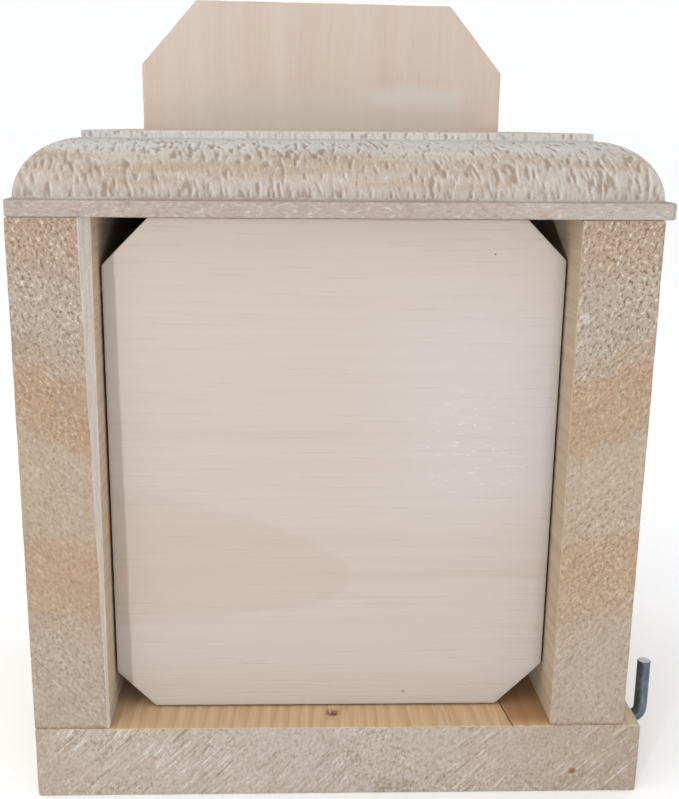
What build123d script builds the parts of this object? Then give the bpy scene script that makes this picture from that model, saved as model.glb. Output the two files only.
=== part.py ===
"""Nesting box made of four thick boards round a blank plywood front, on a taller plywood back plate.

The frame's origin is the centre of the base board's underside.  +Z is up, the front faces -Y,
the back plate is at +Y and the turning screw hook is on the +X side.  All sizes are millimetres.
"""
from build123d import *
import os

# boards: base, walls and roof are all cut from one thickness of softwood
BOARD = 19.0
BASE_WIDTH = 154.0
DEPTH = 104.0
WALL_HEIGHT = 128.0
LEFT_WALL_INNER = -58.0
RIGHT_WALL_INNER = 53.5
EASE = 0.5

# roof: straight lip below, small ledge, quarter-round and a narrow top fillet on three edges
ROOF_LEFT = -77.3
ROOF_RIGHT = 75.2
ROOF_LIP = 3.8
ROOF_LEDGE = 2.6
ROOF_LEDGE_LEFT = 1.9
ROOF_ROUND = 13.5
LIP_CORNER = 2.2

# plywood
PLY = 6.0
PANEL_RECESS = 10.3
PANEL_SIDE_GAP = 0.5
PANEL_TOP_GAP = 0.8
PANEL_FLOOR_GAP = 0.4
PANEL_CLIP_TOP_LEFT = 11.2
PANEL_CLIP_TOP_RIGHT = 9.6
PANEL_CLIP_BOTTOM_LEFT = 9.8
PANEL_CLIP_BOTTOM_RIGHT = 11.6
PLATE_LEFT = -59.0
PLATE_RIGHT = 53.5
PLATE_TOP_LEFT = 204.7
PLATE_TOP_RIGHT = 203.7
PLATE_CLIP_LEFT_WIDTH = 17.2
PLATE_CLIP_LEFT_HEIGHT = 19.1
PLATE_CLIP_RIGHT_WIDTH = 16.6
PLATE_CLIP_RIGHT_HEIGHT = 19.9
PLY_EASE = 0.3

# entrance hole in the left wall
HOLE_RADIUS = 16.0
HOLE_HEIGHT = 84.0
HOLE_ROUND = 1.5

# bevel planed on the left wall's inner front corner, wide at the top and fading out below
PLANED_TOP = 2.8
PLANED_BOTTOM = 0.7

# turning screw hook in the base's right end
ROD_RADIUS = 1.75
HOOK_FROM_FRONT = 20.0
HOOK_LEG_OUT = 6.8
HOOK_TOP = 26.4
HOOK_BEND = 3.0
HOOK_PLAIN = 5.0
HOOK_THREAD = 15.0
HOOK_TIP = 3.5
HOOK_DEPTH = HOOK_PLAIN + HOOK_THREAD + HOOK_TIP
THREAD_PITCH = 1.5
THREAD_ROOT = 1.25
THREAD_CREST = 1.7
THREAD_BURY = 0.15
THREAD_FOOT = 0.9
THREAD_FLAT = 0.15
CUT_EDGE = 0.2

# nails
BOARD_NAIL_RADIUS = 1.3
BOARD_NAIL_LENGTH = 45.0
BOARD_NAIL_HEAD_RADIUS = 2.7
PLATE_NAIL_RADIUS = 0.9
PLATE_NAIL_LENGTH = 25.0
PLATE_NAIL_HEAD_RADIUS = 2.0
PIVOT_NAIL_RADIUS = 0.9
PIVOT_NAIL_LENGTH = 28.5
PIVOT_NAIL_HEAD_RADIUS = 2.2
PIVOT_FROM_TOP = 18.0
STOP_BRAD_RADIUS = 0.8
STOP_BRAD_LENGTH = 14.0
STOP_BRAD_HEAD_RADIUS = 1.3
STOP_BRAD_OUT = 5.0
STOP_BRAD_HEIGHT = 22.0
STOP_GAP = 0.3
HEAD_THICKNESS = 1.0
HEAD_TAPER = 0.4
HEAD_SINK = 0.3
POINT_RADII = 2.5
ROOF_HEAD_DROP = 4.6
PLATE_NAIL_OUT = 39.0
FIT = 0.05
NAIL_FROM_INNER_FACE = 8.5
NAIL_SPACING = 40.0

FRONT = -DEPTH / 2
BACK = DEPTH / 2
WALL_TOP = BOARD + WALL_HEIGHT
ROOF_TOP = WALL_TOP + BOARD
ROOF_TOP_BAND = BOARD - ROOF_LIP - ROOF_ROUND
LEFT_WALL_OUTER = LEFT_WALL_INNER - BOARD
RIGHT_WALL_OUTER = RIGHT_WALL_INNER + BOARD
PANEL_FRONT = FRONT + PANEL_RECESS
PANEL_BACK = PANEL_FRONT + PLY
PANEL_WIDTH = RIGHT_WALL_INNER - LEFT_WALL_INNER - 2 * PANEL_SIDE_GAP
PANEL_HEIGHT = WALL_HEIGHT - PANEL_TOP_GAP - PANEL_FLOOR_GAP
PANEL_MIDDLE = PANEL_FRONT + PLY / 2
PIVOT_Z = WALL_TOP - PIVOT_FROM_TOP
HOLE_Z = BOARD + HOLE_HEIGHT
HOLE_Y = (PANEL_BACK + BACK) / 2
HOOK_Y = FRONT + HOOK_FROM_FRONT
HOOK_Z = BOARD / 2
HOOK_LEG_X = BASE_WIDTH / 2 + HOOK_LEG_OUT
SHOULDER_X = BASE_WIDTH / 2 - HOOK_PLAIN
STOP_Y = PANEL_BACK + STOP_BRAD_HEAD_RADIUS + STOP_GAP
STOP_Z = BOARD + STOP_BRAD_HEIGHT
LEFT_NAIL_X = LEFT_WALL_INNER - NAIL_FROM_INNER_FACE
RIGHT_NAIL_X = RIGHT_WALL_INNER + NAIL_FROM_INNER_FACE
ROOF_HEAD_Z = ROOF_TOP - ROOF_HEAD_DROP
PLATE_MIDDLE = (PLATE_LEFT + PLATE_RIGHT) / 2


def make_nail(radius, length, head_radius):
    """One nail with the top of its head at the origin, pointing down."""
    with BuildPart() as nail:
        with BuildSketch(Plane.XZ):
            Polygon(
                (0, 0),
                (head_radius, 0),
                (head_radius, -HEAD_THICKNESS),
                (radius, -HEAD_THICKNESS - HEAD_TAPER),
                (radius, -length + POINT_RADII * radius),
                (0, -length),
                align=None,
            )
        revolve(axis=Axis.Z)
    return nail.part


def make_nail_space(radius, length, head_radius):
    """The room one nail takes in the wood: a snug hole, and a round sinking over its head."""
    with BuildPart() as space:
        with BuildSketch(Plane.XY.offset(-length - FIT)):
            Circle(radius + FIT)
        extrude(amount=length)
        with BuildSketch(Plane.XY.offset(-HEAD_THICKNESS - HEAD_TAPER - FIT)):
            Circle(head_radius + FIT)
        extrude(amount=BOARD)
    return space.part


def put(shape, places):
    """Copies of one shape, one at each place."""
    return [place.location * shape for place in places]


# places where nails go, as planes whose Z points out of the wood
base_nail_places = [
    Plane(origin=(x, y, HEAD_SINK), z_dir=(0, 0, -1))
    for x in (LEFT_NAIL_X, RIGHT_NAIL_X)
    for y in (-NAIL_SPACING, 0.0, NAIL_SPACING)
]
roof_nail_places = [
    Plane(origin=(x, y, ROOF_HEAD_Z), z_dir=(0, 0, 1))
    for x in (LEFT_NAIL_X, RIGHT_NAIL_X)
    for y in (-NAIL_SPACING / 2, NAIL_SPACING)
]
plate_nail_places = [
    Plane(origin=(PLATE_MIDDLE + side * PLATE_NAIL_OUT, BACK + PLY - HEAD_SINK, z), z_dir=(0, 1, 0))
    for side in (-1, 1)
    for z in (BOARD / 2, ROOF_TOP - BOARD / 2)
]
pivot_nail_places = [
    Plane(origin=(LEFT_WALL_OUTER + HEAD_SINK, PANEL_MIDDLE, PIVOT_Z), z_dir=(-1, 0, 0)),
    Plane(origin=(RIGHT_WALL_OUTER - HEAD_SINK, PANEL_MIDDLE, PIVOT_Z), z_dir=(1, 0, 0)),
]
stop_brad_places = [
    Plane(origin=(LEFT_WALL_INNER + STOP_BRAD_OUT, STOP_Y, STOP_Z), z_dir=(1, 0, 0)),
    Plane(origin=(RIGHT_WALL_INNER - STOP_BRAD_OUT, STOP_Y, STOP_Z), z_dir=(-1, 0, 0)),
]

board_nail = make_nail(BOARD_NAIL_RADIUS, BOARD_NAIL_LENGTH, BOARD_NAIL_HEAD_RADIUS)
plate_nail = make_nail(PLATE_NAIL_RADIUS, PLATE_NAIL_LENGTH, PLATE_NAIL_HEAD_RADIUS)
pivot_nail = make_nail(PIVOT_NAIL_RADIUS, PIVOT_NAIL_LENGTH, PIVOT_NAIL_HEAD_RADIUS)
stop_brad = make_nail(STOP_BRAD_RADIUS, STOP_BRAD_LENGTH, STOP_BRAD_HEAD_RADIUS)

board_space = make_nail_space(BOARD_NAIL_RADIUS, BOARD_NAIL_LENGTH, BOARD_NAIL_HEAD_RADIUS)
plate_space = make_nail_space(PLATE_NAIL_RADIUS, PLATE_NAIL_LENGTH, PLATE_NAIL_HEAD_RADIUS)
pivot_space = make_nail_space(PIVOT_NAIL_RADIUS, PIVOT_NAIL_LENGTH, PIVOT_NAIL_HEAD_RADIUS)
brad_space = make_nail_space(STOP_BRAD_RADIUS, STOP_BRAD_LENGTH, STOP_BRAD_RADIUS)

base_nail_spaces = put(board_space, base_nail_places)
roof_nail_spaces = put(board_space, roof_nail_places)
plate_nail_spaces = put(plate_space, plate_nail_places)
pivot_nail_spaces = put(pivot_space, pivot_nail_places)
stop_brad_spaces = put(brad_space, stop_brad_places)

# base board
with BuildPart() as base_board:
    with BuildSketch(Plane.XY):
        Rectangle(BASE_WIDTH, DEPTH)
    extrude(amount=BOARD)
    fillet(base_board.edges(), radius=EASE)
    with BuildSketch(Plane(origin=(BASE_WIDTH / 2, HOOK_Y, HOOK_Z), z_dir=(-1, 0, 0))):
        Circle(ROD_RADIUS + FIT)
    extrude(amount=HOOK_DEPTH + FIT, mode=Mode.SUBTRACT)
    add(base_nail_spaces, mode=Mode.SUBTRACT)
    add(plate_nail_spaces, mode=Mode.SUBTRACT)
base_board.part.label = "base_board"

# left wall, with the round entrance hole and a hand-planed inner front corner
with BuildPart() as left_wall:
    with BuildSketch(Plane.XY.offset(BOARD)):
        with Locations((LEFT_WALL_INNER, 0)):
            Rectangle(BOARD, DEPTH, align=(Align.MAX, Align.CENTER))
    extrude(amount=WALL_HEIGHT)
    fillet(left_wall.edges(), radius=EASE)
    with BuildSketch(Plane.XY.offset(WALL_TOP)):
        with Locations((LEFT_WALL_INNER, FRONT)):
            Triangle(a=PLANED_TOP, b=PLANED_TOP, C=90, align=None, rotation=90)
    with BuildSketch(Plane.XY.offset(BOARD)):
        with Locations((LEFT_WALL_INNER, FRONT)):
            Triangle(a=PLANED_BOTTOM, b=PLANED_BOTTOM, C=90, align=None, rotation=90)
    loft(mode=Mode.SUBTRACT)
    with BuildSketch(Plane(origin=(LEFT_WALL_OUTER, HOLE_Y, HOLE_Z), z_dir=(1, 0, 0))):
        Circle(HOLE_RADIUS)
    extrude(amount=BOARD, mode=Mode.SUBTRACT)
    rims = left_wall.edges().filter_by(GeomType.CIRCLE).filter_by(lambda rim: rim.radius > HOLE_RADIUS / 2)
    fillet(rims, radius=HOLE_ROUND)
    add(base_nail_spaces, mode=Mode.SUBTRACT)
    add(roof_nail_spaces, mode=Mode.SUBTRACT)
    add(pivot_nail_spaces, mode=Mode.SUBTRACT)
    add(stop_brad_spaces, mode=Mode.SUBTRACT)
left_wall.part.label = "left_wall"

# right wall, set in from the end of the base
with BuildPart() as right_wall:
    with BuildSketch(Plane.XY.offset(BOARD)):
        with Locations((RIGHT_WALL_INNER, 0)):
            Rectangle(BOARD, DEPTH, align=(Align.MIN, Align.CENTER))
    extrude(amount=WALL_HEIGHT)
    fillet(right_wall.edges(), radius=EASE)
    add(base_nail_spaces, mode=Mode.SUBTRACT)
    add(roof_nail_spaces, mode=Mode.SUBTRACT)
    add(pivot_nail_spaces, mode=Mode.SUBTRACT)
    add(stop_brad_spaces, mode=Mode.SUBTRACT)
right_wall.part.label = "right_wall"

# roof board: the edge profile on both ends, cut to the same profile along the front
with BuildPart() as roof_board:
    with BuildSketch(Plane.XZ.offset(-BACK)):
        with BuildLine():
            foot_l = Line((ROOF_LEFT, WALL_TOP), (ROOF_RIGHT, WALL_TOP))
            lip_r = Line(foot_l @ 1, (ROOF_RIGHT, WALL_TOP + ROOF_LIP))
            ledge_r = Line(lip_r @ 1, lip_r @ 1 - Vector(ROOF_LEDGE, 0))
            round_r = RadiusArc(ledge_r @ 1, ledge_r @ 1 + Vector(-ROOF_ROUND, ROOF_ROUND), -ROOF_ROUND)
            top_r = Line(round_r @ 1, (ROOF_RIGHT - ROOF_LEDGE - ROOF_ROUND, ROOF_TOP))
            top = Line(top_r @ 1, (ROOF_LEFT + ROOF_LEDGE_LEFT + ROOF_ROUND, ROOF_TOP))
            top_l = Line(top @ 1, top @ 1 - Vector(0, ROOF_TOP_BAND))
            round_l = RadiusArc(top_l @ 1, top_l @ 1 + Vector(-ROOF_ROUND, -ROOF_ROUND), -ROOF_ROUND)
            ledge_l = Line(round_l @ 1, round_l @ 1 - Vector(ROOF_LEDGE_LEFT, 0))
            lip_l = Line(ledge_l @ 1, foot_l @ 0)
        make_face()
    extrude(amount=DEPTH)
    with BuildSketch(Plane.YZ.offset(ROOF_LEFT)):
        with BuildLine():
            under = Line((BACK, WALL_TOP), (FRONT, WALL_TOP))
            lip = Line(under @ 1, (FRONT, WALL_TOP + ROOF_LIP))
            ledge = Line(lip @ 1, lip @ 1 + Vector(ROOF_LEDGE, 0))
            front_round = RadiusArc(ledge @ 1, ledge @ 1 + Vector(ROOF_ROUND, ROOF_ROUND), ROOF_ROUND)
            front_top = Line(front_round @ 1, (FRONT + ROOF_LEDGE + ROOF_ROUND, ROOF_TOP))
            flat = Line(front_top @ 1, (BACK, ROOF_TOP))
            rear = Line(flat @ 1, under @ 0)
        make_face()
    extrude(amount=ROOF_RIGHT - ROOF_LEFT, mode=Mode.INTERSECT)
    corners = roof_board.edges().filter_by(Axis.Z).group_by(Axis.Y)[0]
    fillet(corners.filter_by_position(Axis.Z, WALL_TOP, WALL_TOP + ROOF_LIP), radius=LIP_CORNER)
    add(roof_nail_spaces, mode=Mode.SUBTRACT)
    add(plate_nail_spaces, mode=Mode.SUBTRACT)
roof_board.part.label = "roof_board"

# front panel: blank plywood with clipped corners, hung between the walls on two nails
with BuildPart() as front_panel:
    with BuildSketch(Plane.XZ.offset(-PANEL_BACK)):
        with Locations(((LEFT_WALL_INNER + RIGHT_WALL_INNER) / 2, BOARD + PANEL_FLOOR_GAP)):
            Rectangle(PANEL_WIDTH, PANEL_HEIGHT, align=(Align.CENTER, Align.MIN))
    extrude(amount=PLY)
    upright = front_panel.edges().filter_by(Axis.Y)
    lower = upright.group_by(Axis.Z)[0].sort_by(Axis.X)
    upper = upright.group_by(Axis.Z)[-1].sort_by(Axis.X)
    chamfer(lower[0], length=PANEL_CLIP_BOTTOM_LEFT)
    chamfer(lower[-1], length=PANEL_CLIP_BOTTOM_RIGHT)
    chamfer(upper[0], length=PANEL_CLIP_TOP_LEFT)
    chamfer(upper[-1], length=PANEL_CLIP_TOP_RIGHT)
    faces = front_panel.faces().filter_by(Axis.Y)
    fillet(faces.edges(), radius=PLY_EASE)
    add(pivot_nail_spaces, mode=Mode.SUBTRACT)
front_panel.part.label = "front_panel"

# back plate: taller than the roof, cut a little out of square, upper corners clipped, nailed on behind
with BuildPart() as back_plate:
    with BuildSketch(Plane.XZ.offset(-BACK - PLY)):
        Polygon(
            (PLATE_LEFT, 0),
            (PLATE_RIGHT, 0),
            (PLATE_RIGHT, PLATE_TOP_RIGHT - PLATE_CLIP_RIGHT_HEIGHT),
            (PLATE_RIGHT - PLATE_CLIP_RIGHT_WIDTH, PLATE_TOP_RIGHT),
            (PLATE_LEFT + PLATE_CLIP_LEFT_WIDTH, PLATE_TOP_LEFT),
            (PLATE_LEFT, PLATE_TOP_LEFT - PLATE_CLIP_LEFT_HEIGHT),
            align=None,
        )
    extrude(amount=PLY)
    faces = back_plate.faces().filter_by(Axis.Y)
    fillet(faces.edges(), radius=PLY_EASE)
    add(plate_nail_spaces, mode=Mode.SUBTRACT)
back_plate.part.label = "back_plate"

# screw hook: a bent rod with a square-cut end, and a wood-screw thread inside the base
with BuildPart() as screw_hook:
    with BuildLine(Plane.XZ.offset(-HOOK_Y)) as rod_line:
        FilletPolyline(
            (SHOULDER_X, HOOK_Z),
            (HOOK_LEG_X, HOOK_Z),
            (HOOK_LEG_X, HOOK_TOP),
            radius=HOOK_BEND,
        )
    with BuildSketch(Plane(origin=(SHOULDER_X, HOOK_Y, HOOK_Z), z_dir=(1, 0, 0))):
        Circle(ROD_RADIUS)
    sweep(path=rod_line.line)
    cut_end = screw_hook.faces().sort_by(Axis.Z)[-1]
    chamfer(cut_end.edges(), length=CUT_EDGE)
    with BuildSketch(Plane.XZ.offset(-HOOK_Y)):
        with Locations((SHOULDER_X, HOOK_Z)):
            Polygon(
                (0, 0),
                (0, THREAD_ROOT),
                (-HOOK_THREAD, THREAD_ROOT),
                (-HOOK_THREAD - HOOK_TIP, 0),
                align=None,
            )
    revolve(axis=Axis((SHOULDER_X, HOOK_Y, HOOK_Z), (1, 0, 0)))
    with BuildLine() as thread_line:
        Helix(
            pitch=THREAD_PITCH,
            height=HOOK_THREAD - THREAD_PITCH,
            radius=THREAD_ROOT - THREAD_BURY,
            center=(SHOULDER_X - HOOK_THREAD, HOOK_Y, HOOK_Z),
            direction=(1, 0, 0),
        )
    with BuildSketch(Plane(origin=thread_line.line @ 0, x_dir=(1, 0, 0), z_dir=thread_line.line % 0)):
        Polygon(
            (-THREAD_FOOT / 2, 0),
            (THREAD_FOOT / 2, 0),
            (THREAD_FLAT / 2, THREAD_CREST - THREAD_ROOT + THREAD_BURY),
            (-THREAD_FLAT / 2, THREAD_CREST - THREAD_ROOT + THREAD_BURY),
            align=None,
        )
    sweep(path=thread_line.line, is_frenet=True)
screw_hook.part.label = "screw_hook"

# nails: six up through the base, four down through the roof, four through the back plate
with BuildPart() as base_nails:
    add(put(board_nail, base_nail_places))
base_nails.part.label = "base_nails"

with BuildPart() as roof_nails:
    add(put(board_nail, roof_nail_places))
roof_nails.part.label = "roof_nails"

with BuildPart() as plate_nails:
    add(put(plate_nail, plate_nail_places))
plate_nails.part.label = "plate_nails"

# nails through the walls that the front panel turns on, and brads it closes against
with BuildPart() as pivot_nails:
    add(put(pivot_nail, pivot_nail_places))
pivot_nails.part.label = "pivot_nails"

with BuildPart() as stop_brads:
    add(put(stop_brad, stop_brad_places))
stop_brads.part.label = "stop_brads"

os.makedirs("parts", exist_ok=True)
export_step(base_board.part, "parts/base_board.step")
export_step(left_wall.part, "parts/left_wall.step")
export_step(right_wall.part, "parts/right_wall.step")
export_step(roof_board.part, "parts/roof_board.step")
export_step(front_panel.part, "parts/front_panel.step")
export_step(back_plate.part, "parts/back_plate.step")
export_step(screw_hook.part, "parts/screw_hook.step")
export_step(base_nails.part, "parts/base_nails.step")
export_step(roof_nails.part, "parts/roof_nails.step")
export_step(plate_nails.part, "parts/plate_nails.step")
export_step(pivot_nails.part, "parts/pivot_nails.step")
export_step(stop_brads.part, "parts/stop_brads.step")
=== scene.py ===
"""Looks of a wooden birdhouse: rough-sawn softwood boards, plywood front and back plate, zinc hook."""

import math

import bmesh
import bpy
from mathutils import Matrix, Vector, noise


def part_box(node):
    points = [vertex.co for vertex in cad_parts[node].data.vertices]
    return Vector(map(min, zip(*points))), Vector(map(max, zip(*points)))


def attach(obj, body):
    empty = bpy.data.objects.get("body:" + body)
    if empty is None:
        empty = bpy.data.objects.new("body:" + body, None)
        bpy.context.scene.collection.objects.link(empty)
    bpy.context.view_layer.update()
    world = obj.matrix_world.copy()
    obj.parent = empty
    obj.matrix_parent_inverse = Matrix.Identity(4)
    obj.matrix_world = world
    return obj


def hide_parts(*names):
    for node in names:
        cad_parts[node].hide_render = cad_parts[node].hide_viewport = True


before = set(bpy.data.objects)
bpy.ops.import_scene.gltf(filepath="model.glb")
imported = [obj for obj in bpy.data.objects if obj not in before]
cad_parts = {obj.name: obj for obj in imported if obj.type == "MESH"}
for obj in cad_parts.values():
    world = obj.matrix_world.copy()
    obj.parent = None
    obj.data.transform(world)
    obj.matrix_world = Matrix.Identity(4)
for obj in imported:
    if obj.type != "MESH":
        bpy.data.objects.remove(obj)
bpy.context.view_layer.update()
MM = 0.001


# ---- material helpers
class Shader:
    """A small helper that adds nodes to one material and wires them up."""

    def __init__(self, name):
        self.mat = bpy.data.materials.new(name)
        self.mat.use_nodes = True
        self.tree = self.mat.node_tree
        self.tree.nodes.clear()
        self.out = self.tree.nodes.new("ShaderNodeOutputMaterial")
        self.bsdf = self.tree.nodes.new("ShaderNodeBsdfPrincipled")
        self.tree.links.new(self.bsdf.outputs["BSDF"], self.out.inputs["Surface"])
        self.object_co = self.tree.nodes.new("ShaderNodeTexCoord").outputs["Object"]

    def put(self, socket, value):
        if isinstance(value, bpy.types.NodeSocket):
            self.tree.links.new(value, socket)
        elif isinstance(value, (tuple, list)) and len(value) == 3 and socket.type == "RGBA":
            socket.default_value = (*value, 1.0)
        else:
            socket.default_value = value

    def node(self, kind, out=0, ins=None, **props):
        n = self.tree.nodes.new(kind)
        for key, value in props.items():
            setattr(n, key, value)
        for key, value in (ins or {}).items():
            self.put(n.inputs[key], value)
        return n.outputs[out]

    def math(self, op, a, b=0.0):
        return self.node("ShaderNodeMath", 0, {0: a, 1: b}, operation=op)

    def add(self, a, b):
        return self.math("ADD", a, b)

    def sub(self, a, b):
        return self.math("SUBTRACT", a, b)

    def mul(self, *values):
        product = values[0]
        for value in values[1:]:
            product = self.math("MULTIPLY", product, value)
        return product

    def size(self, a):
        """The number without its sign."""
        return self.math("ABSOLUTE", a)

    def scaled(self, co, scale, shift=(0, 0, 0), rot=(0, 0, 0)):
        return self.node("ShaderNodeMapping", 0,
                         {"Vector": co, "Location": shift, "Rotation": rot, "Scale": scale})

    def noise(self, co, scale, detail, rough, shift=(0, 0, 0)):
        """Noise around 0.5; scale is how many times it changes in a metre along x, y and z."""
        return self.node("ShaderNodeTexNoise", 0, {"Vector": self.scaled(co, scale, shift), "Scale": 1.0,
                                                   "Detail": detail, "Roughness": rough})

    def sway(self, co, scale, detail, rough, reach):
        """Noise as a small offset, at most half of reach either way."""
        return self.mul(self.add(self.noise(co, scale, detail, rough), -0.5), reach)

    def mark(self, name):
        """A number stored on the mesh's points, such as how deeply the wood is torn there."""
        return self.node("ShaderNodeAttribute", 2, attribute_name=name)

    def split(self, co):
        n = self.tree.nodes.new("ShaderNodeSeparateXYZ")
        self.put(n.inputs[0], co)
        return n.outputs[0], n.outputs[1], n.outputs[2]

    def join(self, x, y, z):
        return self.node("ShaderNodeCombineXYZ", 0, {0: x, 1: y, 2: z})

    def band(self, value, low, high, smooth=True):
        """0 at low, 1 at high, which may be the smaller number."""
        return self.node("ShaderNodeMapRange", 0, {"Value": value, "From Min": low, "From Max": high},
                         clamp=True, interpolation_type="SMOOTHSTEP" if smooth else "LINEAR")

    def mix(self, factor, a, b, mode="MIX"):
        n = self.tree.nodes.new("ShaderNodeMix")
        n.data_type = "RGBA"
        n.blend_type = mode
        n.clamp_factor = True
        self.put(n.inputs["Factor"], factor)
        for socket, value in ((n.inputs[6], a), (n.inputs[7], b)):
            self.put(socket, value)
        return n.outputs[2]

    def tint(self, colour, gain):
        return self.mix(1.0, colour, gain, "MULTIPLY")

    def stain(self, colour, where, strength, tone):
        """Lays a tone over a colour where a mask says so."""
        return self.mix(self.mul(where, strength), colour, tone)

    def ramp(self, value, stops):
        """Colours along a number; each stop is (place from 0 to 1, colour)."""
        n = self.tree.nodes.new("ShaderNodeValToRGB")
        points = n.color_ramp.elements
        while len(points) < len(stops):
            points.new(0.5)
        for point, (place, colour) in zip(points, stops):
            point.position = place
            point.color = (*colour, 1.0)
        self.put(n.inputs[0], value)
        return n.outputs[0]

    def bump(self, height, distance, strength):
        return self.node("ShaderNodeBump", 0,
                         {"Height": height, "Distance": distance, "Strength": strength})

    def finish(self, colour, rough, specular, normal=None, metallic=0.0):
        """Wires the surface up and gives the material."""
        self.put(self.bsdf.inputs["Base Color"], colour)
        self.put(self.bsdf.inputs["Roughness"], rough)
        self.put(self.bsdf.inputs["Metallic"], metallic)
        self.put(self.bsdf.inputs["Specular IOR Level"], specular)
        if normal is not None:
            self.put(self.bsdf.inputs["Normal"], normal)
        return self.mat


def normal_parts(s):
    return s.split(s.node("ShaderNodeTexCoord", 1))


# ---- softwood materials
# Lengths are in metres in the part's frame, noise scales are per metre, colours are linear RGB.
MIRROR_X = -2.25 * MM           # the two walls mirror each other about this x
FACES_FRONT = (-0.5, -0.8)      # y of the normal, from not facing the front to facing it
FACES_END = (0.55, 0.8)         # the same for either end of a board, without the sign
WOOD_BUMP = (0.0005, 0.6)       # distance and strength

RINGS_ACROSS, RINGS_UP, RING_WANDER = 260.0, 210.0, 9.0
PORE = (0.2, 0.12, 0.07)


def long_grain(s, co, light, dark, seed):
    """Planed side grain running front to back, with thin darker growth lines."""
    x, _, z = s.split(co)
    wave = s.noise(co, (18, 5, 18), 2.0, 0.5, (seed, 0, 0))
    rings = s.add(s.mul(x, RINGS_ACROSS), s.add(s.mul(z, RINGS_UP), s.mul(wave, RING_WANDER)))
    line = s.math("FRACT", rings)
    late = s.mul(s.band(line, 0.35, 0.92), s.band(line, 1.0, 0.93))
    fibre = s.noise(co, (900, 26, 900), 3.0, 0.6, (0, seed, 0))
    pores = s.band(s.noise(co, (1400, 90, 1400), 1.0, 0.5), 0.62, 0.75)
    colour = s.mix(s.mul(late, 0.55), light, dark)
    colour = s.mix(s.band(fibre, 0.3, 0.75), s.mix(0.5, colour, dark), colour)
    colour = s.stain(colour, pores, 0.25, PORE)
    return colour, s.add(s.mul(fibre, 0.7), s.mul(late, 0.35))


SAW_PITCH, SAW_TURN = 0.0009, 0.7854        # metres and radians
SAW_DARK, SAW_PALE = (0.27, 0.195, 0.13), (0.80, 0.74, 0.66)
SPECK_SHADE, SPECK_HIGHLIGHT = (0.25, 0.165, 0.105), (0.84, 0.78, 0.70)
END_BLOTCH, END_FUZZ, END_PIT_SHADE = (0.34, 0.245, 0.165), (0.26, 0.18, 0.12), (0.26, 0.175, 0.115)


def saw_marks(s, co, turn):
    """Slanting lines that a saw leaves on a cut end."""
    x, _, z = s.split(s.scaled(co, (1 / SAW_PITCH,) * 3, rot=(0, turn, 0)))
    wobble = s.noise(co, (45, 45, 45), 2.0, 0.5)
    return s.noise(s.join(s.add(x, s.mul(wobble, 3.0)), 0.0, s.mul(z, 0.09)), (1, 1, 1), 2.0, 0.65)


def rough_end(s, co, colour, turn, speck_depth, mark_depth):
    """Sawn end grain: torn specks, drawn as painted shade and painted highlights, and slanting saw marks
    over a tone; the torn pits get painted shade. Gives colour and height.
    """
    marks = saw_marks(s, co, turn)
    lean = s.scaled(co, (1, 1, 1), rot=(0, turn * 0.45, 0))
    speck = s.noise(lean, (1350, 1350, 900), 3.0, 0.6)
    fuzz = s.noise(co, (2300, 2300, 1900), 2.0, 0.6)
    blotch = s.noise(co, (150, 150, 120), 4.0, 0.6)
    scored = s.mul(s.band(s.noise(co, (38, 38, 38), 2.0, 0.5, (5, 0, 2)), 0.34, 0.60), mark_depth)
    colour = s.stain(colour, s.band(marks, 0.53, 0.70), scored, SAW_DARK)
    colour = s.stain(colour, s.band(marks, 0.47, 0.30), scored, SAW_PALE)
    colour = s.stain(colour, s.band(blotch, 0.60, 0.35), 0.16, END_BLOTCH)
    # Painted shade and painted highlights of the torn specks.
    colour = s.stain(colour, s.band(speck, 0.53, 0.64), speck_depth, SPECK_SHADE)
    colour = s.stain(colour, s.mul(s.band(speck, 0.45, 0.34), speck_depth), 0.7, SPECK_HIGHLIGHT)
    colour = s.stain(colour, s.band(fuzz, 0.62, 0.35), 0.14, END_FUZZ)
    # Painted shade in the torn pits.
    colour = s.stain(colour, s.mark("torn"), 0.3, END_PIT_SHADE)
    return colour, s.add(s.mul(fuzz, 0.25), s.add(s.mul(marks, -0.35), s.mul(speck, -0.9)))


def board_material(name, tone, turn, seed, grain, specks, marks, end_gain, side_gain, figure=None):
    """A board: sawn end grain front and back, long grain elsewhere.

    turn slants the saw marks, grain is the long grain's light and dark colour, and the two gains
    match the brightness of end and side to the photo.
    """
    s = Shader(name)
    co = s.object_co
    normal = normal_parts(s)
    end = s.band(s.size(normal[1]), *FACES_END)
    end_colour, end_height = rough_end(s, co, tone(s, co), turn, specks(s, co), marks)
    side_colour, side_height = long_grain(s, co, *grain, seed)
    # Partly painted light and shade: besides the wood's own difference, the side gain sets how bright the
    # side faces are against the ends, standing in for how the light falls on each.
    colour = s.mix(end, s.tint(side_colour, side_gain), s.tint(end_colour, end_gain))
    if figure:
        colour = figure(s, co, colour, normal)
    height = s.add(s.mul(end, end_height), s.mul(s.sub(1.0, end), s.mul(side_height, 0.35)))
    return s.finish(colour, 0.82, 0.18, s.bump(height, *WOOD_BUMP))


def spot_at(s, co, x, z, radius, soft, mirror=None):
    """1 inside a soft round spot seen from the front, 0 outside it. With mirror it has a twin."""
    px, _, pz = s.split(co)
    if mirror is not None:
        px = s.size(s.add(px, -mirror))
    far = s.node("ShaderNodeVectorMath", 1, {0: s.join(px, 0.0, pz), 1: (x, 0.0, z)}, operation="DISTANCE")
    far = s.add(far, s.sway(co, (420, 420, 420), 2.0, 0.6, soft))
    return s.band(far, radius, radius - soft)


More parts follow.
